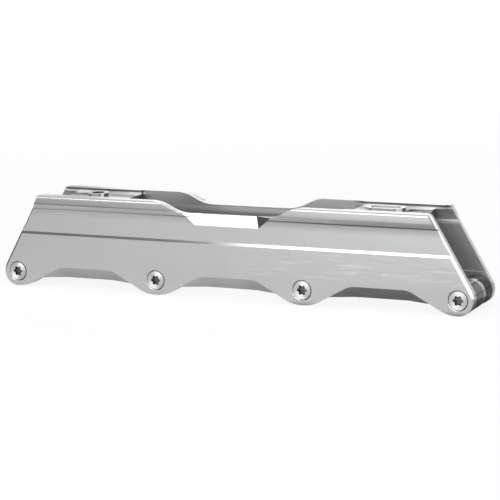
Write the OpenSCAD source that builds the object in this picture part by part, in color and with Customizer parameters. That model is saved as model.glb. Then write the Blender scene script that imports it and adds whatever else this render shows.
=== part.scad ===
// Inline skate frame: a one-piece milled channel on four axles.
// X runs along the frame, Y across it and Z up. The lobes stand on Z = 0.

/* [Axles] */
// Number of axles
axle_count = 4; // [4:1:4]
// Distance from one axle to the next
axle_pitch = 81; // [78:0.5:90]
// Diameter of the axle shank
shank_d = 8; // [7:0.1:8.4]
// Diameter of the thread on the tip of the axle
thread_d = 6.9; // [5:0.1:6.9]
// Diameter of the flush axle head
head_d = 9.7; // [9.2:0.1:10.4]
// Thickness of the axle head
head_t = 2.8; // [2:0.1:3]
// Width of the star socket across its points
socket_d = 5.3; // [3.6:0.1:5.6]
// Depth of the star socket
socket_depth = 2.2; // [1.2:0.1:2.4]
// How far the axle head and the axle tip lie below the outer faces
head_sink = 0.15; // [0.1:0.05:0.5]
// Chamfer round the hole that takes the axle head
head_chamfer = 0.45; // [0.2:0.05:0.6]

/* [Side walls] */
// Height of the frame, from the lobes to the top of the flanges
frame_h = 48.5; // [46:0.1:56]
// Height of the axles above the undersides of the lobes
axle_z = 7.6; // [7.6:0.1:8.2]
// Radius of the rounded ends round the first and last axle
lobe_r = 7.9; // [7.6:0.1:8.8]
// Width across the lower panels
panel_w = 34; // [33:0.1:36]
// Width of the wheel channel between the side walls
channel_w = 25.6; // [25.2:0.1:26.4]
// How far the upper wall lies inside the lower panel
panel_step = 0.8; // [0.3:0.1:1.2]
// Height of the crease on top of the lower panel, at its middle
crease_z = 28.5; // [24:0.5:33]
// Height of the slanting face of that crease
crease_h = 1.3; // [0.6:0.1:2]
// Angle that the end edges lean from upright
end_lean = 29.5; // [20:0.5:35]
// Chamfer along the end edges of the lower panel
end_chamfer = 1.2; // [0.6:0.1:2]
// Chamfer along the end edges of the upper wall
end_chamfer_top = 0.7; // [0.3:0.1:1]
// Radius of the top corners of the side walls
corner_r = 2; // [1:0.5:4]

/* [Inside of the channel] */
// Height of the thicker foot of each wall
foot_z = 16.7; // [15:0.1:20]
// How far the foot stands in from the wall
foot_step = 0.4; // [0.2:0.1:0.5]
// Radius of the boss round each axle
boss_r = 6.4; // [5.5:0.1:7]
// How far the boss stands in from the foot
boss_h = 0.4; // [0.2:0.1:0.5]

/* [Flanges] */
// Width across the two flanges
flange_w = 37; // [36:0.1:42]
// Height of the outer face of a flange
flange_t = 4.2; // [3.5:0.1:5]
// Height of the slanting face under a flange
flange_under_h = 3.1; // [1.5:0.1:4]
// Radius of the top edge of a flange
flange_edge_r = 1.1; // [0.5:0.1:1.5]
// Width between the lips that stand up beside the plates
lip_gap = 24; // [22:0.1:25]
// Length of the low middle section, between the feet of its slopes
mid_l = 42; // [30:1:60]
// Length of each slope up to the flange
slope_l = 21; // [16:0.5:26]
// Drop of the middle section below the flanges
mid_drop = 5.7; // [4:0.1:7]
// Depth of the sloping face along the top of the middle section
bevel_h = 5.7; // [3:0.1:7]
// Length of that sloping face along its foot
bevel_l = 34.8; // [20:0.2:40]
// Angle at which it climbs out at both ends
bevel_end_angle = 40; // [30:1:50]

/* [Cut-outs between the axles] */
// Radius under each axle
foot_r = 20; // [16:0.5:22]
// Angle of the flanks beside each axle
flank_angle = 29; // [24:1:34]
// Height of the cut-out at the inner face of the wall
arch_in_z = 5.1; // [4:0.1:6.5]
// Height of the cut-out at the outer face of the wall
arch_out_z = 11.1; // [9:0.1:13]
// Radius at the outer edge of the ends of the cut-out
arch_r = 11; // [8:0.5:14]

/* [Plates] */
// Length of each mounting plate
plate_l = 38; // [30:0.5:40]
// Thickness of each mounting plate
plate_t = 5; // [4:0.1:6]
// Depth of the plates below the top of the flanges
plate_drop = 2.1; // [1.5:0.1:3]
// Width of the raised pad round each mounting hole
pad_w = 11; // [9.5:0.1:13]
// Length of the pad round the front mounting slot
pad_l = 20; // [16:0.5:22]
// Distance between the two mounting holes
mount_pitch = 160; // [156:0.5:164]
// Diameter of the mounting hole, and width of the slot
mount_hole_d = 6.6; // [5.2:0.1:7]
// Width of the shallow recess at the outer end of each plate
recess_w = 16.4; // [13:0.2:20]
// Depth of that recess
recess_depth = 0.8; // [0.4:0.1:1.5]
// Width of the step left standing in that recess
recess_step_w = 8; // [4:0.5:9]

/* [Spacers] */
// Outer diameter of the near spacers
spacer_d = 15; // [12:0.1:15]
// Outer diameter of the far spacers
far_spacer_d = 14.8; // [12:0.1:15]
// Width of the ring between the near and the far spacer
ring_w = 3; // [2:0.1:5]
// Width of the thin rim on the inner end of a near spacer
rim_w = 0.5; // [0.3:0.1:1]
// Height of that rim
rim_h = 0.05; // [0.05:0.05:0.1]
// Chamfer on the edges of the spacers and on the axle's head and tip
edge_c = 0.25; // [0.1:0.05:0.4]
// Gap between spacers, and between a spacer and a boss
side_gap = 0.1; // [0.05:0.05:0.2]
// Radial clearance of a spacer on its axle
run_gap = 0.05; // [0.03:0.01:0.1]

/* [Hidden] */
$fn = 96;
eps = 0.01;
hair = 0.01;
past = 5;
fit_gap = 0.05;
half_span = (axle_count - 1) * axle_pitch / 2;
panel_y = panel_w / 2;
wall_y = panel_y - panel_step;
flange_y = flange_w / 2;
inner_y = channel_w / 2;
inner_top_y = inner_y + foot_step;
foot_y = inner_y - foot_step;
boss_y = foot_y - boss_h;
lip_y = lip_gap / 2;
plate_top_z = frame_h - plate_drop;
plate_low_z = plate_top_z - plate_t;
web_step_h = 2.1;
recess_end = 3;
mid_z = frame_h - mid_drop;
bevel_z = mid_z - bevel_h;
top_half = half_span + lobe_r / cos(end_lean) - (frame_h - lobe_r) * tan(end_lean);
plate_x = axle_pitch;
front_slot_x = mount_pitch - plate_x;
slot_l = pad_l - pad_w + mount_hole_d;
countersink_d = head_d + 2 * head_chamfer;

function axle_x(i) = (i - (axle_count + 1) / 2) * axle_pitch;
function end_x(z) = half_span + lobe_r / cos(end_lean) - (z - lobe_r) * tan(end_lean);

// A flat outline in X and Z, made solid from y0 to y1
module across(y0, y1) {
  translate([0, y1, 0]) rotate([90, 0, 0]) linear_extrude(y1 - y0) children();
}

// A flat outline in Y and Z, made solid from x0 to x1
module along(x0, x1) {
  translate([x0, 0, 0]) rotate([90, 0, 90]) linear_extrude(x1 - x0) children();
}

// A rod or cone along Y at an axle height, from y0 to y1
module rod(x, z, y0, y1, r0, r1) {
  translate([x, y1, z]) rotate([90, 0, 0]) cylinder(h = y1 - y0, r1 = r1, r2 = r0);
}

// Cross-section of the far wall and its flange
module wall_section() {
  flange_low = frame_h - flange_t;
  polygon([
    [foot_y, -past],
    [foot_y, foot_z - foot_step],
    [inner_y, foot_z],
    [inner_y, plate_low_z - web_step_h],
    [inner_top_y, plate_low_z],
    [inner_top_y, frame_h],
    [flange_y - flange_edge_r, frame_h],
    [flange_y - flange_edge_r, frame_h - flange_edge_r],
    [flange_y, frame_h - flange_edge_r],
    [flange_y, flange_low],
    [wall_y, flange_low - flange_under_h],
    [wall_y, crease_z + crease_h / 2],
    [panel_y, crease_z - crease_h / 2],
    [panel_y, -past]
  ]);
  translate([flange_y - flange_edge_r, frame_h - flange_edge_r]) circle(flange_edge_r);
}

// Where the straight flank beside an axle leaves the arc under it. The flank cuts into
// the arc by a hair, so that the two meet in one clean edge.
flank_x = foot_r * sin(flank_angle) - hair * sin(flank_angle);
flank_z = foot_r * (1 - cos(flank_angle)) + hair * cos(flank_angle);

// Distance from an axle at which its flank reaches a height
function flank_at(z) = flank_x + (z - flank_z) / tan(flank_angle);

// The foot of the wall under an axle, between its two flanks
module axle_foot() {
  flat_x = flank_at(arch_in_z);
  polygon([[-flat_x, arch_in_z], [-flank_x, flank_z], [flank_x, flank_z], [flat_x, arch_in_z]]);
  translate([0, foot_r]) circle(foot_r);
}

// Side view of the frame, before the middle section is lowered
module side_outline() {
  corner_z = frame_h - corner_r;
  corner_x = end_x(corner_z) - corner_r / cos(end_lean);
  polygon([
    [-corner_x, frame_h],
    [corner_x, frame_h],
    [corner_x + corner_r * cos(end_lean), corner_z + corner_r * sin(end_lean)],
    [half_span + lobe_r * cos(end_lean), lobe_r + lobe_r * sin(end_lean)],
    [half_span, lobe_r],
    [half_span, arch_in_z],
    [-half_span, arch_in_z],
    [-half_span, lobe_r],
    [-half_span - lobe_r * cos(end_lean), lobe_r + lobe_r * sin(end_lean)],
    [-corner_x - corner_r * cos(end_lean), corner_z + corner_r * sin(end_lean)]
  ]);
  for (side = [-1, 1]) {
    translate([side * corner_x, corner_z]) circle(corner_r);
    translate([side * half_span, lobe_r]) circle(lobe_r);
  }
  intersection() {
    for (i = [1 : axle_count]) translate([axle_x(i), 0]) axle_foot();
    translate([-half_span, 0]) square([2 * half_span, axle_z]);
  }
}

// What is milled off the top of the middle section, in side view
module mid_cut_outline() {
  r = (slope_l * slope_l + mid_drop * mid_drop) / (4 * mid_drop);
  half = mid_l / 2;
  translate([-half, mid_z]) square([mid_l, mid_drop + past]);
  for (side = [-1, 1]) scale([side, 1]) {
    intersection() {
      translate([half, mid_z + r]) circle(r, $fn = 192);
      translate([half - eps, mid_z]) square([slope_l / 2 + eps, mid_drop + past]);
    }
    difference() {
      translate([half + slope_l / 2, mid_z + mid_drop / 2])
        square([slope_l / 2, mid_drop / 2 + past]);
      translate([half + slope_l, frame_h - r]) circle(r, $fn = 192);
    }
  }
}

// Cross-section of the sloping face along the top edge of the middle section. Past the wall
// the cut runs straight out through the flange.
module bevel_section() {
  slope = bevel_h / (wall_y - inner_top_y);
  out_y = flange_y + past;
  polygon([
    [inner_y, bevel_h + slope * foot_step - hair],
    [wall_y + hair, -slope * hair],
    [out_y, -slope * hair],
    [out_y, frame_h],
    [inner_y, frame_h]
  ]);
}

// The sloping face along the top edge of the middle section, which climbs out at both ends
module mid_bevel_cut() {
  intersection() {
    translate([0, 0, bevel_z]) along(-axle_pitch, axle_pitch) bevel_section();
    translate([bevel_l / 2, 0, bevel_z]) rotate([0, -bevel_end_angle, 0])
      along(-axle_pitch, axle_pitch) bevel_section();
    translate([-bevel_l / 2, 0, bevel_z]) rotate([0, bevel_end_angle, 0])
      along(-axle_pitch, axle_pitch) bevel_section();
  }
}

// Cross-section of what the sloping face of a cut-out takes off, above an axis
module arch_section(r) {
  rise = arch_out_z - arch_in_z;
  slope = rise / (panel_y - foot_y);
  polygon([[foot_y, r - rise], [panel_y + past, r + slope * past], [panel_y + past, -past], [foot_y, -past]]);
}

// The sloping face of the cut-out between two axles: straight along the top, round at both
// ends, and straight again down each flank
module arch_bevel_cut() {
  half = axle_pitch / 2 - flank_at(arch_out_z) - arch_r * tan(flank_angle / 2);
  rise = arch_out_z - arch_in_z;
  slope = rise / (panel_y - foot_y);
  axis_z = arch_out_z - arch_r;
  flank_l = (axis_z + arch_r * cos(flank_angle) - arch_in_z) / sin(flank_angle) + past;
  translate([0, 0, axis_z]) along(-half, half) arch_section(arch_r);
  for (side = [-1, 1]) scale([side, 1, 1]) {
    rod(half, axis_z, foot_y, panel_y + past, arch_r - rise, arch_r + slope * past);
    translate([half, 0, axis_z]) rotate([0, flank_angle, 0])
      along(0, flank_l) arch_section(arch_r - 2 * hair);
  }
}

// The chamfers round one end of the far wall. Round the lobe the chamfer runs out towards
// the bottom, because its cone is centred lower than the lobe.
module end_chamfer_cut() {
  low_l = (crease_z - lobe_r) / cos(end_lean);
  top_l = (frame_h - flange_t - lobe_r) / cos(end_lean);
  translate([half_span, 0, lobe_r]) rotate([0, -end_lean, 0]) {
    edge_cut(0, low_l, panel_y, end_chamfer);
    edge_cut(low_l - end_chamfer, top_l, wall_y, end_chamfer_top);
    intersection() {
      difference() {
        rod(0, 0, panel_y - end_chamfer, panel_y + past, 2 * lobe_r, 2 * lobe_r);
        rod(0, -end_chamfer, panel_y - end_chamfer - eps, panel_y + past + eps,
            lobe_r + eps, lobe_r - end_chamfer - past);
      }
      translate([0, 0, -2 * lobe_r]) cube([2 * lobe_r, 2 * panel_y, 2 * lobe_r]);
    }
  }
}

// A straight chamfer along a leaning end edge
module edge_cut(from, to, face_y, size) {
  translate([lobe_r, face_y, from])
    linear_extrude(to - from) polygon([[-size, 0], [past, -size - past], [past, past], [-size, past]]);
}

// The holes of one axle in both walls
module axle_holes(x) {
  shoulder_y = -panel_y + head_sink + head_t;
  rod(x, axle_z, -panel_y - past, shoulder_y, head_d / 2 + fit_gap, head_d / 2 + fit_gap);
  rod(x, axle_z, -panel_y - eps, -panel_y + head_chamfer, countersink_d / 2, head_d / 2);
  rod(x, axle_z, shoulder_y - eps, 0, shank_d / 2 + run_gap, shank_d / 2 + run_gap);
  rod(x, axle_z, 0, panel_y + past, thread_d / 2 + fit_gap, thread_d / 2 + fit_gap);
}

// The raised pad and the plate it stands on
module plate(x, pad_x, pad_len) {
  translate([x - plate_l / 2, -inner_top_y - eps, plate_low_z])
    cube([plate_l, 2 * (inner_top_y + eps), plate_t]);
  translate([pad_x, 0, plate_top_z - eps]) slot_shape(pad_w, pad_len, plate_drop + eps);
}

// The shallow recess between a pad and the outer end of its plate, with a step left in it
module end_recess_cut(pad_end) {
  outer_end = plate_x + plate_l / 2;
  translate([0, 0, plate_top_z - recess_depth]) difference() {
    translate([pad_end, -recess_w / 2, 0])
      cube([outer_end + past - pad_end, recess_w, recess_depth + eps]);
    translate([pad_end - eps, -recess_step_w / 2, -eps])
      cube([outer_end - recess_end - pad_end, recess_step_w, recess_depth / 2 + eps]);
  }
}

// A slot along X with round ends
module slot_shape(w, l, h) {
  travel = l - w;
  if (travel > eps) {
    translate([-travel / 2, -w / 2, 0]) cube([travel, w, h]);
    for (side = [-1, 1]) translate([side * travel / 2, 0, 0]) cylinder(h = h, d = w);
  }
  if (travel <= eps) cylinder(h = h, d = w);
}

// The lip beside a plate, from the plate's inner end to the end of the frame
module lip() {
  inner_end = plate_x - plate_l / 2;
  translate([inner_end, lip_y, plate_top_z])
    cube([top_half - corner_r - inner_end, inner_top_y - lip_y + eps, plate_drop]);
}

module chassis() {
  color([0.78, 0.79, 0.8])
  difference() {
    union() {
      for (side = [-1, 1]) scale([1, side, 1]) {
        intersection() {
          along(-half_span - 2 * lobe_r, half_span + 2 * lobe_r) wall_section();
          across(0, flange_y + eps) side_outline();
        }
        for (i = [1 : axle_count])
          rod(axle_x(i), axle_z, boss_y, foot_y + eps, boss_r, boss_r);
        lip();
        scale([-1, 1, 1]) lip();
      }
      plate(-plate_x, -plate_x, pad_w);
      plate(plate_x, front_slot_x, pad_l);
    }
    across(-flange_y - eps, flange_y + eps) mid_cut_outline();
    for (side = [-1, 1]) scale([1, side, 1]) {
      mid_bevel_cut();
      for (i = [1 : axle_count - 1])
        translate([(axle_x(i) + axle_x(i + 1)) / 2, 0, 0]) arch_bevel_cut();
      end_chamfer_cut();
      scale([-1, 1, 1]) end_chamfer_cut();
    }
    for (i = [1 : axle_count]) axle_holes(axle_x(i));
    end_recess_cut(front_slot_x + pad_l / 2);
    scale([-1, 1, 1]) end_recess_cut(plate_x + pad_w / 2);
    translate([-plate_x, 0, plate_low_z - past])
      slot_shape(mount_hole_d, mount_hole_d, plate_t + plate_drop + 2 * past);
    translate([front_slot_x, 0, plate_low_z - past])
      slot_shape(mount_hole_d, slot_l, plate_t + plate_drop + 2 * past);
  }
}

// The star socket in an axle head, with six points
module star_socket(y0, y1) {
  point_r = socket_d / 9;
  rod(0, 0, y0, y1, socket_d * 0.38, socket_d * 0.38);
  for (k = [0 : 5])
    rotate([0, k * 60, 0]) rod(socket_d / 2 - point_r, 0, y0, y1, point_r, point_r);
}

module axle_bolt(i) {
  head_y = -panel_y + head_sink;
  tip_y = panel_y - head_sink;
  color([0.82, 0.82, 0.84])
  translate([axle_x(i), 0, axle_z])
  difference() {
    union() {
      rod(0, 0, head_y, head_y + edge_c, head_d / 2 - edge_c, head_d / 2);
      rod(0, 0, head_y + edge_c, head_y + head_t, head_d / 2, head_d / 2);
      rod(0, 0, head_y + head_t - eps, boss_y, shank_d / 2, shank_d / 2);
      rod(0, 0, boss_y - eps, tip_y - edge_c, thread_d / 2, thread_d / 2);
      rod(0, 0, tip_y - edge_c, tip_y, thread_d / 2, thread_d / 2 - edge_c);
    }
    star_socket(head_y - eps, head_y + socket_depth);
  }
}

// A plain sleeve round an axle, with a small chamfer on its outer edges
module sleeve(i, y0, y1, d, edge = edge_c) {
  translate([axle_x(i), 0, axle_z])
  difference() {
    union() {
      rod(0, 0, y0, y0 + edge, d / 2 - edge, d / 2);
      rod(0, 0, y0 + edge, y1 - edge, d / 2, d / 2);
      rod(0, 0, y1 - edge, y1, d / 2, d / 2 - edge);
    }
    rod(0, 0, y0 - eps, y1 + eps, shank_d / 2 + run_gap, shank_d / 2 + run_gap);
  }
}

module near_spacer(i) {
  rim_d = spacer_d + 2 * rim_h;
  color([0.72, 0.73, 0.75]) {
    sleeve(i, -boss_y + side_gap, -side_gap / 2 - rim_w / 2, spacer_d);
    sleeve(i, -side_gap / 2 - rim_w, -side_gap / 2, rim_d, rim_w / 4);
  }
}

module spacer_ring(i) {
  color([0.6, 0.61, 0.63])
    sleeve(i, side_gap / 2, side_gap / 2 + ring_w, spacer_d);
}

module far_spacer(i) {
  color([0.06, 0.06, 0.07])
    sleeve(i, side_gap / 2 + ring_w, boss_y - side_gap, far_spacer_d);
}

chassis();
axle_bolt(1);  // axle_bolt_1
axle_bolt(2);  // axle_bolt_2
axle_bolt(3);  // axle_bolt_3
axle_bolt(4);  // axle_bolt_4
near_spacer(1);  // near_spacer_1
near_spacer(2);  // near_spacer_2
near_spacer(3);  // near_spacer_3
near_spacer(4);  // near_spacer_4
spacer_ring(1);  // spacer_ring_1
spacer_ring(2);  // spacer_ring_2
spacer_ring(3);  // spacer_ring_3
spacer_ring(4);  // spacer_ring_4
far_spacer(1);  // far_spacer_1
far_spacer(2);  // far_spacer_2
far_spacer(3);  // far_spacer_3
far_spacer(4);  // far_spacer_4
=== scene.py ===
# %% [markdown]
# An inline skate frame on a white studio table. The frame is one milled channel of polished
# aluminium, with four axle bolts and bright and black spacers on the axles. The real sizes
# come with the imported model, so this script only dresses it: edges, finishes, table and light.

from math import pi, radians

import bmesh
import bpy
from mathutils import Matrix, Vector


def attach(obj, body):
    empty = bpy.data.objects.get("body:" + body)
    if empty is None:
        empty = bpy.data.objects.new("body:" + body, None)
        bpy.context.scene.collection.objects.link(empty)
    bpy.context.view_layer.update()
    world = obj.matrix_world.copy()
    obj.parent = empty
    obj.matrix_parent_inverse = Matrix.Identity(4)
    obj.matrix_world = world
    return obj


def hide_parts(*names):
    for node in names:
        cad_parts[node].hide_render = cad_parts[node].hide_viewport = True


MM = 0.001
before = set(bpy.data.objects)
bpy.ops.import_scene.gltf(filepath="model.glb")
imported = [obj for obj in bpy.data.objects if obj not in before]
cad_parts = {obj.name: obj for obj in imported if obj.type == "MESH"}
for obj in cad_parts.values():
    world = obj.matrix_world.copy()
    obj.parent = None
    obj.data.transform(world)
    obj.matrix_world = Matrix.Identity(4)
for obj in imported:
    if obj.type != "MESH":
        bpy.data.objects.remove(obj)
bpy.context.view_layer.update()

# %% [markdown]
# The photograph was taken with a long lens from the front right and a little from above, which
# keeps the far end of the frame nearly as tall as the near end. A constraint could aim the
# camera, but it leaves no say over the roll. So a place and three turns are multiplied into one
# matrix, and they put the four axle heads and all the corners where the photograph has them.

# %% Camera
CAMERA_PLACE = Vector((442.2, -946.8, 220.0)) * MM
CAMERA_TURN = radians(24.78)
CAMERA_DOWN = radians(10.71)
CAMERA_ROLL = radians(-1.43)
CAMERA_LENS = 151.0
SENSOR_WIDTH = 36
SIGHT_END = 20


def add_camera():
    """The camera at the photograph's viewing angle."""
    data = bpy.data.cameras.new("studio_camera")
    data.lens = CAMERA_LENS
    data.sensor_width = SENSOR_WIDTH
    data.clip_end = SIGHT_END
    camera = bpy.data.objects.new("studio_camera", data)
    bpy.context.scene.collection.objects.link(camera)
    turn = Matrix.Rotation(CAMERA_TURN, 4, "Z")
    tilt = Matrix.Rotation(radians(90) - CAMERA_DOWN, 4, "X")
    roll = Matrix.Rotation(CAMERA_ROLL, 4, "Z")
    camera.matrix_world = Matrix.Translation(CAMERA_PLACE) @ turn @ tilt @ roll
    return camera


camera = add_camera()
bpy.context.scene.camera = camera
sight = camera.matrix_world.to_3x3() @ Vector((0, 0, -1))
print("camera looks along", [round(v, 3) for v in sight])

# %% [markdown]
# Every finish here is a node material. These small helpers make a node, set its values and
# join it, so that each finish below reads as a short list of what it is made of.

# %% Node helpers


def new_material(name):
    """An empty node material, with its node tree."""
    material = bpy.data.materials.new(name)
    material.use_nodes = True
    material.node_tree.nodes.clear()
    return material, material.node_tree


def add_node(tree, kind, values=None, **settings):
    """A node of one kind, with socket values and settings."""
    node = tree.nodes.new(kind)
    for key, value in settings.items():
        setattr(node, key, value)
    for socket, value in (values or {}).items():
        node.inputs[socket].default_value = value
    return node


def join(tree, source, output, target, socket):
    """A wire from one node's output to another node's socket."""
    tree.links.new(source.outputs[output], target.inputs[socket])


def compute(tree, operation, *values):
    """A math node on the outputs of other nodes or on plain numbers."""
    node = add_node(tree, "ShaderNodeMath", operation=operation)
    for slot, value in enumerate(values):
        if isinstance(value, (int, float)):
            node.inputs[slot].default_value = value
        else:
            tree.links.new(value, node.inputs[slot])
    return node.outputs[0]


def ramp(tree, value, low, high, to_low=0.0, to_high=1.0):
    """A value mapped from one range to another, and held at both ends."""
    ends = {"From Min": low, "From Max": high, "To Min": to_low, "To Max": to_high}
    node = add_node(tree, "ShaderNodeMapRange", ends)
    tree.links.new(value, node.inputs["Value"])
    return node.outputs["Result"]


def object_place(tree):
    """The place on the piece, as one node and as its x, y and z."""
    place = add_node(tree, "ShaderNodeTexCoord")
    split = add_node(tree, "ShaderNodeSeparateXYZ")
    join(tree, place, "Object", split, "Vector")
    return place, split.outputs


print("node helpers ready")

# %% [markdown]
# Bare metal is mostly what it mirrors, so its colour stays plain and the surface does the work.
# Each finish carries fine lines from milling, polishing or turning. An image of brushed metal
# would need unwrapped faces. Noise in object coordinates needs none: it is stretched along the
# lines, and used once in the roughness and once as a very small bump.

# %% Metal finish
ROUGH_SPREAD = 0.04
DARK_TINT = 0.95
LIGHT_TINT = 1.04
CLOUD_SCALE = 35.0
LINE_DEPTH = 0.02 * MM


def metal(name, colour, rough, lines, bump, line_scale):
    """A metal with machining lines. lines stretches the noise along X, Y and Z."""
    material, tree = new_material(name)
    place = add_node(tree, "ShaderNodeTexCoord")
    stretch = add_node(tree, "ShaderNodeMapping", {"Scale": lines})
    streaks = add_node(tree, "ShaderNodeTexNoise",
                       {"Scale": line_scale, "Detail": 6.0, "Roughness": 0.6})
    clouds = add_node(tree, "ShaderNodeTexNoise", {"Scale": CLOUD_SCALE, "Detail": 3.0})
    to_rough = add_node(tree, "ShaderNodeMapRange",
                        {"To Min": rough - ROUGH_SPREAD, "To Max": rough + ROUGH_SPREAD})
    tint = add_node(tree, "ShaderNodeMix", data_type="RGBA")
    tint.name = "tint"
    tint.inputs[6].default_value = (*[DARK_TINT * c for c in colour], 1)
    tint.inputs[7].default_value = (*[min(1.0, LIGHT_TINT * c) for c in colour], 1)
    ridge = add_node(tree, "ShaderNodeBump", {"Strength": bump, "Distance": LINE_DEPTH})
    shader = add_node(tree, "ShaderNodeBsdfPrincipled", {"Metallic": 1.0})
    shader.name = "shader"
    output = add_node(tree, "ShaderNodeOutputMaterial")
    join(tree, place, "Object", stretch, "Vector")
    join(tree, stretch, "Vector", streaks, "Vector")
    join(tree, place, "Object", clouds, "Vector")
    join(tree, streaks, "Fac", to_rough, "Value")
    join(tree, clouds, "Fac", tint, 0)
    join(tree, streaks, "Fac", ridge, "Height")
    join(tree, tint, 2, shader, "Base Color")
    join(tree, to_rough, "Result", shader, "Roughness")
    join(tree, ridge, "Normal", shader, "Normal")
    join(tree, shader, "BSDF", output, "Surface")
    return material


print("a metal has a colour, a roughness and fine lines")

# %% [markdown]
# Ten finishes come from that one recipe, so that they stay alike in kind. The walls are
# polished, the inside of the channel is duller, and small faces in shade get a dark finish that
# is painted shade. The slot's walls are rougher and painted pale, as painted light. The bolts
# are plated, with a dark painted shade in their sockets. The rings are turned bright, the near
# spacers darker, and the far spacers are black, with a skin that mirrors little.

# %% Ten finishes
ALUMINIUM = (0.82, 0.825, 0.83)
LONG_LINES = (0.04, 1.0, 1.0)
RING_LINES = (0.05, 1.0, 0.05)
NO_LINES = (1.0, 1.0, 1.0)
MILLED_LINES = 900.0
PLATED_LINES = 600.0
TURNED_LINES = 1200.0

polished = metal("polished_aluminium", ALUMINIUM, 0.22, LONG_LINES, 0.3, MILLED_LINES)
cut_edge = metal("cut_edge", ALUMINIUM, 0.10, LONG_LINES, 0.1, MILLED_LINES)
plated = metal("axle_steel", (0.95, 0.95, 0.95), 0.42, NO_LINES, 0.1, PLATED_LINES)
turned = metal("turned_aluminium", (0.66, 0.665, 0.67), 0.14, RING_LINES, 0.3, TURNED_LINES)
sleeve = metal("near_sleeve_metal", (0.22, 0.22, 0.225), 0.14, RING_LINES, 0.3, TURNED_LINES)
inside = metal("milled_inside_painted_shade", ALUMINIUM, 0.40, LONG_LINES, 0.2, MILLED_LINES)
# A dark finish that is painted shade on small faces.
painted_dark_metal = metal("painted_shade_pocket", (0.30, 0.30, 0.30), 0.30, NO_LINES, 0.3, MILLED_LINES)
# The slot's walls are rougher, and painted paler than the rest: painted light from above.
slot_wall_painted_light = metal("slot_wall_painted_light", (0.95, 0.95, 0.95), 0.55, NO_LINES, 0.2, MILLED_LINES)
# Painted shade: a dark finish for the bolts' star sockets and the chamfers round their heads.
socket = metal("bolt_painted_shade", (0.20, 0.20, 0.20), 0.25, NO_LINES, 0.3, MILLED_LINES)
black = metal("black_spacer", (0.006, 0.006, 0.006), 0.16, RING_LINES, 0.2, TURNED_LINES)
black_skin = black.node_tree.nodes["shader"].inputs
black_skin["Metallic"].default_value = 0.0
black_skin["Specular IOR Level"].default_value = 0.2
print("metals:", sorted(m.name for m in bpy.data.materials if m.use_nodes))

# %% [markdown]
# Under each flange the walls get a painted shade: towards the hollow corner, in it, on the
# slanting face and at the lower edge of the flange. How much changes from the left end to the
# right end, so there is one list of heights in mm and shades for each end. The inner faces have a
# list of their own, with a band of painted light lower down and a dark line of painted shade under
# the top edge of the lips. On the real frame these are reflections of a room. Painted reflections
# by height come closer, with less work, than building that room out of cards.

# %% Lists of shades
SHADE_LOW = 36.0 * MM
SHADE_HIGH = 49.0 * MM
# Painted shade and painted reflection on the outer walls, by height in mm, for each end.
LEFT_PAINTED_SHADES = [
    (37.5, 1.0), (39.2, 0.93), (41.0, 0.84), (41.1, 0.60), (41.5, 0.60), (41.7, 0.85),
    (43.7, 1.0), (44.0, 0.46), (44.5, 0.46), (44.8, 0.70), (46.5, 0.73), (48.0, 1.0),
]
RIGHT_PAINTED_SHADES = [
    (36.5, 1.0), (37.2, 0.97), (38.2, 0.88), (39.2, 0.77), (40.9, 0.63), (41.0, 0.25),
    (41.6, 0.25), (41.8, 0.86), (44.0, 0.90), (44.6, 0.84), (46.2, 1.0), (47.5, 1.0),
]
# Painted shade on the inner faces, and painted light where the grey is above 1.
INNER_PAINTED_SHADES = [
    (39.0, 1.0), (39.3, 1.3), (41.3, 1.3), (41.5, 0.36), (46.3, 0.36), (46.5, 1.0),
    (47.2, 1.0), (47.5, 0.2), (48.4, 0.2),
]


def painted_shade_ramp(tree, height, shades):
    """A colour ramp over the height, with the listed painted shades."""
    node = add_node(tree, "ShaderNodeValToRGB")
    stops = node.color_ramp.elements
    while len(stops) < len(shades):
        stops.new(0.5)
    for stop, (z, grey) in zip(stops, shades):
        stop.position = (z * MM - SHADE_LOW) / (SHADE_HIGH - SHADE_LOW)
        stop.color = (grey, grey, grey, 1)
    tree.links.new(height, node.inputs["Fac"])
    return node.outputs["Color"]


print("shades listed:", len(LEFT_PAINTED_SHADES), len(RIGHT_PAINTED_SHADES), len(INNER_PAINTED_SHADES))

# %% [markdown]
# On the outer walls the two lists are mixed from the left end to the right end, and everything
# nearer to the middle of the channel than the walls stays as it is. The result is one number at
# each place, which will multiply the colour. A pair of numbers such as LEFT_TO_RIGHT is where a
# change starts and ends, and two more numbers, where it has them, are its values there.

# %% Shades on the outer walls
OUTSIDE_Y = 15.6 * MM
LEFT_TO_RIGHT = (-0.08, 0.06)


# Painted shade and painted reflection under the flanges, mixed from the left end to the right end.
def painted_wall_shade(tree):
    """The painted shade of a wall at each place: 1 where it stays plain."""
    _, (x, y, z) = object_place(tree)
    height = ramp(tree, z, SHADE_LOW, SHADE_HIGH)
    ends = add_node(tree, "ShaderNodeMix", data_type="RGBA")
    tree.links.new(ramp(tree, x, *LEFT_TO_RIGHT), ends.inputs[0])
    tree.links.new(painted_shade_ramp(tree, height, LEFT_PAINTED_SHADES), ends.inputs[6])
    tree.links.new(painted_shade_ramp(tree, height, RIGHT_PAINTED_SHADES), ends.inputs[7])
    split = add_node(tree, "ShaderNodeSeparateColor")
    join(tree, ends, 2, split, 0)
    outside = compute(tree, "GREATER_THAN", compute(tree, "ABSOLUTE", y), OUTSIDE_Y)
    missing = compute(tree, "SUBTRACT", 1.0, split.outputs[0])
    return compute(tree, "SUBTRACT", 1.0, compute(tree, "MULTIPLY", missing, outside))


print("walls start", OUTSIDE_Y, "m from the middle")

# %% [markdown]
# On the right half of the lower panel run long, fine and slightly brighter streaks, as on metal
# that was drawn or wiped along its length. Scratches could be drawn one by one. Noise that is
# stretched along the frame, and cut off where it is low, gives them all at once.

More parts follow.
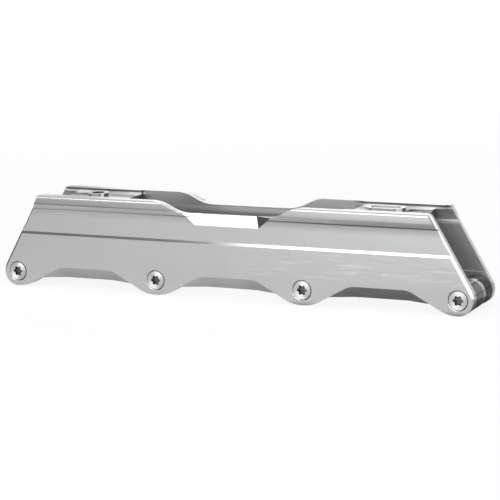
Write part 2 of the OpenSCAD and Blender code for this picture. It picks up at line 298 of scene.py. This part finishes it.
# %% Streaks on the lower panel
STREAK_STRETCH = (0.10, 1.0, 1.0)
STREAK_NOISE = {"Scale": 800.0, "Detail": 4.0, "Distortion": 0.8}
STREAK_LIFT = (0.50, 0.75, 0.0, 0.22)
STREAKS_TO_RIGHT = (-0.005, 0.03)
PANEL_MIDDLE_Z = 20.5 * MM
PANEL_HALF_HEIGHT = 6.5 * MM


def panel_streaks(tree):
    """Fine bright streaks along the right half of the lower panel: 1 where there are none."""
    place, (x, _, z) = object_place(tree)
    stretch = add_node(tree, "ShaderNodeMapping", {"Scale": STREAK_STRETCH})
    wavy = add_node(tree, "ShaderNodeTexNoise", STREAK_NOISE)
    join(tree, place, "Object", stretch, "Vector")
    join(tree, stretch, "Vector", wavy, "Vector")
    streaks = ramp(tree, wavy.outputs["Fac"], *STREAK_LIFT)
    band = compute(tree, "COMPARE", z, PANEL_MIDDLE_Z, PANEL_HALF_HEIGHT)
    right = compute(tree, "MULTIPLY", ramp(tree, x, *STREAKS_TO_RIGHT), band)
    return compute(tree, "ADD", 1.0, compute(tree, "MULTIPLY", streaks, right))


print("streaks from", PANEL_MIDDLE_Z - PANEL_HALF_HEIGHT, "m up")

# %% [markdown]
# Inside the channel the walls stand between two plates, which take their light away. The list of
# inner shades is painted beside the plates, and the open middle gets a painted shade as a whole.
# This is easier to steer than dark cards hung in the channel.

# %% Shades on the inner walls
# Where the painted shade beside the plates starts, and the painted shade of the open middle.
BESIDE_PLATES = (0.056, 0.062)
OPEN_MIDDLE = (0.03, 0.08, 0.65, 1.0)


def painted_inner_shade(tree):
    """The painted shade of the inner faces: darker beside the plates, on the lips and in the
    middle, with a band of painted light.
    """
    _, (x, _, z) = object_place(tree)
    height = ramp(tree, z, SHADE_LOW, SHADE_HIGH)
    split = add_node(tree, "ShaderNodeSeparateColor")
    tree.links.new(painted_shade_ramp(tree, height, INNER_PAINTED_SHADES), split.inputs[0])
    from_middle = compute(tree, "ABSOLUTE", x)
    change = compute(tree, "SUBTRACT", split.outputs[0], 1.0)
    beside = compute(tree, "MULTIPLY", change, ramp(tree, from_middle, *BESIDE_PLATES))
    middle = ramp(tree, from_middle, *OPEN_MIDDLE)
    return compute(tree, "MULTIPLY", compute(tree, "ADD", 1.0, beside), middle)


print("inner shades start", BESIDE_PLATES[0], "m from the middle")

# %% [markdown]
# A painted shade only counts once it reaches the shader. Each is put between the tint of its
# finish and the base colour. A dark glaze over the metal would hide what it mirrors, and this only
# dims it.

# %% Shades in the finishes


def scale_tint(material, factor):
    """Multiplies a finish's tint by a factor made with nodes of the same tree."""
    tree = material.node_tree
    scaled = add_node(tree, "ShaderNodeVectorMath", operation="SCALE")
    join(tree, tree.nodes["tint"], 2, scaled, 0)
    tree.links.new(factor, scaled.inputs["Scale"])
    join(tree, scaled, "Vector", tree.nodes["shader"], "Base Color")


# The walls' colour carries their painted shade and the streaks, the inner faces' colour their
# painted shade.
walls = polished.node_tree
scale_tint(polished, compute(walls, "MULTIPLY", painted_wall_shade(walls), panel_streaks(walls)))
scale_tint(inside, painted_inner_shade(inside.node_tree))
print("nodes in the walls' finish:", len(walls.nodes), "and inside:", len(inside.node_tree.nodes))

# %% [markdown]
# The bolt heads were turned on a lathe. Their fine rings spread the light across the rings, not
# along them, which makes the bright fans above and below the middle. The rings are finer than a
# pixel, so they aren't modelled as grooves: the shader's anisotropy follows a tangent that runs
# round the axle.

# %% Turned bolt heads
RING_SHINE = 0.9
ACROSS_THE_RINGS = 0.25


def turn_heads(material):
    """Spreads a finish's shine outwards from the axle, as turning marks do."""
    tree = material.node_tree
    rings = add_node(tree, "ShaderNodeTangent", direction_type="RADIAL", axis="Y")
    shader = tree.nodes["shader"]
    join(tree, rings, "Tangent", shader, "Tangent")
    shader.inputs["Anisotropic"].default_value = RING_SHINE
    shader.inputs["Anisotropic Rotation"].default_value = ACROSS_THE_RINGS


turn_heads(plated)
print("turned heads:", plated.name)

# %% [markdown]
# A milled edge is never a perfect knife: a small rounding catches the light as a thin bright
# line, and much of the look of polished metal is in those lines. A bevel in the shader would
# leave the outline hard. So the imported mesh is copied, its loose triangles are merged and its
# flat faces joined, and a Bevel modifier rounds the edges.

# %% Pieces with softened edges
SAME_POINT = 0.002 * MM
FLAT_ANGLE = radians(0.3)
EDGE_ANGLE = radians(14)
EDGE_SEGMENTS = 2


def finished_mesh(node, finishes, pick):
    """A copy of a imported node's mesh with joined flat faces and a finish for each face."""
    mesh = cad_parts[node].data.copy()
    mesh.materials.clear()
    for finish in finishes:
        mesh.materials.append(finish)
    work = bmesh.new()
    work.from_mesh(mesh)
    bmesh.ops.remove_doubles(work, verts=work.verts, dist=SAME_POINT)
    bmesh.ops.dissolve_limit(work, angle_limit=FLAT_ANGLE, verts=work.verts, edges=work.edges)
    for face in work.faces:
        face.material_index = pick(face.calc_center_median(), face.normal) if pick else 0
    work.to_mesh(mesh)
    work.free()
    mesh.shade_smooth()
    return mesh


def softened(node, body, finishes, width, pick=None):
    """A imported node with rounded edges. pick() names the finish of a face by its number."""
    piece = bpy.data.objects.new(node + "_finished", finished_mesh(node, finishes, pick))
    bpy.context.scene.collection.objects.link(piece)
    bevel = piece.modifiers.new("edge rounding", "BEVEL")
    bevel.width = width
    bevel.segments = EDGE_SEGMENTS
    bevel.limit_method = "ANGLE"
    bevel.angle_limit = EDGE_ANGLE
    bevel.harden_normals = False
    weight = piece.modifiers.new("flat faces stay flat", "WEIGHTED_NORMAL")
    weight.keep_sharp = False
    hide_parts(node)
    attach(piece, body)
    return piece


print("edges are rounded by a modifier, so the packed shape stays as it is")

# %% [markdown]
# The frame is one piece with more than one surface. The walls are polished and the inside of the
# channel is duller. Small faces get a dark finish that is painted shade: the recesses and ends of
# the plates, the right end of the notch, the top of the foot inside and the chamfer at the left
# end. The walls of the slot are rougher and painted pale, as painted light, and the crease is cut
# as clean as a mirror. A mesh for each surface would open the edges between them, so it stays one
# mesh, and each face gets its finish from its place and its direction.

# %% Chassis
PLAIN, PAINTED_DARK, INNER, SLOT, CUT = range(5)
# The second finish is painted shade on small faces; the fourth is painted light on the slot's
# walls.
CHASSIS_FINISHES_AND_PAINTED_SHADES = [polished, painted_dark_metal, inside, slot_wall_painted_light, cut_edge]
CHASSIS_EDGE = 0.16 * MM
PLATES_FROM_X = 60
INSIDE_Y = 14


def is_painted_dark(x, y, z, normal):
    """True for the small faces that get a dark painted shade."""
    upright = abs(normal.z) < 0.3
    on_plate = abs(x) > PLATES_FROM_X and abs(y) < 13
    recess_wall = on_plate and upright and 45.4 < z < 46.5 and abs(y) < 9
    plate_end = on_plate and abs(normal.x) > 0.9 and z > 41
    notch_end = abs(x) < 30 and 36 < z < 44 and normal.x < -0.2 and abs(normal.y) > 0.3
    foot_edge = 16 < z < 17 and abs(y) < INSIDE_Y and normal.z > 0.5
    left_chamfer = x < -100 and normal.x < -0.3 and normal.y < -0.3
    return recess_wall or plate_end or notch_end or foot_edge or left_chamfer


def chassis_finish_and_painted_shade(centre, normal):
    """The number of a face's finish, painted shade or painted light for some, from its place in mm
    and its direction.
    """
    x, y, z = centre / MM
    # Small faces in shade get the dark finish: painted shade.
    if is_painted_dark(x, y, z, normal):
        return PAINTED_DARK
    # The slot's walls get the pale finish, painted light.
    if abs(normal.z) < 0.3 and 68 < x < 90 and abs(y) < 5:
        return SLOT
    if 27 < z < 30 and 0.3 < normal.z < 0.7 and abs(normal.x) < 0.1:
        return CUT
    looks_inwards = abs(y) < INSIDE_Y and normal.y * y < -0.5 * abs(y)
    return INNER if looks_inwards else PLAIN


chassis = softened("chassis", "frame", CHASSIS_FINISHES_AND_PAINTED_SHADES, CHASSIS_EDGE,
                   pick=chassis_finish_and_painted_shade)
print("chassis faces:", len(chassis.data.polygons))

# %% [markdown]
# The inside of each star socket gets a dark painted shade, and so does the chamfer round each bolt
# head. Both are found by their distance from the axle, which is the same sum for every bolt
# because the axles stand at equal steps.

# %% Dark faces of the bolts
AXLE_PITCH = 81.0 * MM
AXLE_Z = 7.6 * MM
SOCKET_RADIUS = 2.8 * MM
SOCKET_FROM_Y = -16.75 * MM
SOCKET_TO_Y = -14.45 * MM
RIM_RADIUS = 4.0 * MM


def bolt_painted_shade_pick(centre, normal):
    """1, the dark finish that paints shade, for the star socket in a bolt head and the chamfer
    round the head.
    """
    across = centre.x % AXLE_PITCH - AXLE_PITCH / 2
    radius = Vector((across, 0, centre.z - AXLE_Z)).length
    in_socket = radius < SOCKET_RADIUS and SOCKET_FROM_Y < centre.y < SOCKET_TO_Y
    on_rim = radius > RIM_RADIUS and normal.y > -0.95
    return int(in_socket or on_rim)


print("socket radius:", SOCKET_RADIUS)

# %% [markdown]
# Four bolts carry the wheels. Without wheels, three sleeves on each bolt fill the room of a hub:
# they turn freely, so they ride on bodies of their own, the ring together with the far spacer.
# The near spacers are darker than the rings, and the thin rim at their inner end gets the bright
# turned finish, a painted highlight. All four axles are alike, so one loop dresses them.

# %% Bolts and spacers
AXLES = range(1, 5)
SPACER_RIM_Y = -0.56 * MM
BOLT_EDGE = 0.06 * MM
NEAR_SPACER_EDGE = 0.04 * MM
SPACER_EDGE = 0.1 * MM


def near_spacer_painted_rim_pick(centre, normal):
    """1, the bright finish, a painted highlight on the thin rim at the inner end."""
    return int(centre.y > SPACER_RIM_Y)


for i in AXLES:
    near, far = f"near_sleeve_{i}", f"far_sleeve_{i}"
    softened(f"axle_bolt_{i}", "frame", [plated, socket], BOLT_EDGE,
             pick=bolt_painted_shade_pick)
    # The rim of each near spacer gets the bright turned finish, a painted highlight.
    softened(f"near_spacer_{i}", near, [sleeve, turned], NEAR_SPACER_EDGE,
             pick=near_spacer_painted_rim_pick)
    softened(f"spacer_ring_{i}", far, [turned], SPACER_EDGE)
    softened(f"far_spacer_{i}", far, [black], SPACER_EDGE)
print("bolts and spacers:", 4 * len(AXLES))

# %% [markdown]
# What the metal mirrors of the table shades the walls from grey to light grey. So the table has
# a grey of its own. Right under the frame it carries a painted shadow, darkest at the right, and
# in front of the frame painted light makes it paler towards the right.

# %% What the metal sees of the table
TABLE_GREY = 0.63
# A painted shadow under the frame and painted light in front, seen only by the metal.
PAINTED_SHADOW_UNDER_FRAME = (0.019, 0.026, 1.0, 0.0)
PAINTED_SHADOW_TO_RIGHT = (0.0, 0.055, 0.12, 0.66)
IN_FRONT = (-0.25, -0.05, 1.0, 0.0)
PAINTED_LIGHT_TO_RIGHT = (-0.20, 0.10, -0.07, 0.235)


def table_grey_with_painted_light(tree, x, y):
    """The table's grey at each place, as a colour, with a painted shadow under the frame and
    painted light to the right.
    """
    under = ramp(tree, compute(tree, "ABSOLUTE", y), *PAINTED_SHADOW_UNDER_FRAME)
    shade = compute(tree, "MULTIPLY", under, ramp(tree, x, *PAINTED_SHADOW_TO_RIGHT))
    front = ramp(tree, y, *IN_FRONT)
    paler = compute(tree, "MULTIPLY", ramp(tree, x, *PAINTED_LIGHT_TO_RIGHT), front)
    bare = compute(tree, "ADD", paler, TABLE_GREY)
    pale = compute(tree, "MULTIPLY", bare, compute(tree, "SUBTRACT", 1.0, shade))
    grey = add_node(tree, "ShaderNodeCombineColor")
    for channel in grey.inputs[:3]:
        tree.links.new(pale, channel)
    return grey


print("table grey:", TABLE_GREY)

# %% [markdown]
# The table is one pale sweep that runs out of the picture. The camera sees it nearly white, with
# a trace of the frame's shadow that fades out with the distance from the frame. Two planes, one
# for the camera and one for the metal, would have to be hidden from each other. A Light Path
# node lets one plane be both.

# %% Table
TABLE_SIZE = 8.0
WHITE = (1, 1, 1, 1)
WHITE_SHARE = 0.88
ALL_WHITE_FROM = (0.25, 0.8, WHITE_SHARE, 1.0)


def table_finish():
    """White to the camera, with a trace of the shadow, and lit for all other rays, with a painted
    shadow and painted light.
    """
    material, tree = new_material("studio_sweep_painted_shadow")
    path = add_node(tree, "ShaderNodeLightPath")
    _, (x, y, _) = object_place(tree)
    lit = add_node(tree, "ShaderNodeBsdfDiffuse")
    join(tree, table_grey_with_painted_light(tree, x, y), "Color", lit, "Color")
    clean = add_node(tree, "ShaderNodeBsdfDiffuse", {"Color": WHITE})
    white = add_node(tree, "ShaderNodeEmission", {"Color": WHITE, "Strength": 1.0})
    squares = [compute(tree, "MULTIPLY", side, side) for side in (x, y)]
    reach = compute(tree, "SQRT", compute(tree, "ADD", *squares))
    seen = add_node(tree, "ShaderNodeMixShader")
    tree.links.new(ramp(tree, reach, *ALL_WHITE_FROM), seen.inputs["Fac"])
    choose = add_node(tree, "ShaderNodeMixShader")
    output = add_node(tree, "ShaderNodeOutputMaterial")
    join(tree, clean, 0, seen, 1)
    join(tree, white, 0, seen, 2)
    join(tree, path, "Is Camera Ray", choose, "Fac")
    join(tree, lit, 0, choose, 1)
    join(tree, seen, 0, choose, 2)
    join(tree, choose, "Shader", output, "Surface")
    return material


def add_table():
    """The flat table under the frame."""
    work = bmesh.new()
    bmesh.ops.create_grid(work, x_segments=1, y_segments=1, size=TABLE_SIZE / 2)
    mesh = bpy.data.meshes.new("studio_table")
    work.to_mesh(mesh)
    work.free()
    mesh.materials.append(table_finish())
    table = bpy.data.objects.new("studio_table", mesh)
    bpy.context.scene.collection.objects.link(table)


add_table()
print("table:", TABLE_SIZE, "m wide")

# %% [markdown]
# Past the table there is only the world. To the camera it is white. To the metal it is a dim
# room, so the faces that look away from the lamps go dark. The same Light Path node as on the
# table keeps the two apart, where a single brightness would make the metal flat.

# %% World
ROOM_LIGHT = 0.18


def light_room():
    """White to the camera, and a dim grey for all other rays."""
    world = bpy.data.worlds.new("studio_room")
    world.use_nodes = True
    tree = world.node_tree
    tree.nodes.clear()
    path = add_node(tree, "ShaderNodeLightPath")
    room = add_node(tree, "ShaderNodeBackground", {"Color": WHITE, "Strength": ROOM_LIGHT})
    white = add_node(tree, "ShaderNodeBackground", {"Color": WHITE, "Strength": 1.0})
    mix = add_node(tree, "ShaderNodeMixShader")
    output = add_node(tree, "ShaderNodeOutputWorld")
    join(tree, path, "Is Camera Ray", mix, "Fac")
    join(tree, room, 0, mix, 1)
    join(tree, white, 0, mix, 2)
    join(tree, mix, "Shader", output, "Surface")
    bpy.context.scene.world = world


light_room()
print("room light:", ROOM_LIGHT)

# %% [markdown]
# Seven soft boxes light the scene. A large one overhead and a weaker one at the left light the
# table. One in front, above the camera, whitens the crease and the sloping face in the middle:
# its left edge is where the crease goes dark. A small one at the right is for the end chamfer.
# Three low ones stand behind the frame: the flange tops mirror the two at the left, and the
# end faces mirror the weak one at the right. Area lamps mirror in the metal as glowing panels
# do, with less noise.

# %% Soft boxes
# Each has a name, its place, the point that it faces, its width and height, and its brightness.
SOFTBOXES = [
    ("softbox_overhead", (0.55, -0.30, 1.6), (0, 0, 0), 1.6, 1.6, 1.55),
    ("softbox_top_left", (-1.0, 0.15, 1.6), (-1.0, 0.15, 0), 1.4, 1.7, 0.5),
    ("softbox_front", (-0.185, -1.2, 0.96), (-0.185, 0, 0.96), 1.37, 1.88, 1.85),
    ("softbox_right", (1.2, -0.5, 0.6), (0, 0, 0.03), 0.8, 0.8, 1.5),
    ("softbox_back", (-0.45, 1.6, 0.55), (-0.45, 0, 0.03), 1.1, 0.9, 1.0),
    ("softbox_back_left", (-1.4, 1.5, 0.5), (0, 0, 0.03), 0.8, 0.8, 0.7),
    ("softbox_back_right", (0.7, 1.6, 0.45), (0.2, 0, 0.03), 0.9, 0.8, 0.5),
]


def add_softbox(name, place, aim, width, height, brightness):
    """A rectangular area lamp that faces a point, as bright as a white wall at 1."""
    data = bpy.data.lights.new(name, "AREA")
    data.shape = "RECTANGLE"
    data.size = width
    data.size_y = height
    data.energy = brightness * pi * width * height
    lamp = bpy.data.objects.new(name, data)
    bpy.context.scene.collection.objects.link(lamp)
    away = Vector(place) - Vector(aim)
    turn = away.to_track_quat("Z", "Y").to_matrix().to_4x4()
    lamp.matrix_world = Matrix.Translation(place) @ turn


for softbox in SOFTBOXES:
    add_softbox(*softbox)
print("soft boxes:", len(SOFTBOXES))

# %% [markdown]
# The Standard view keeps white as white, as in the photograph.

# %% Finish
scene = bpy.context.scene
scene.view_settings.view_transform = "Standard"
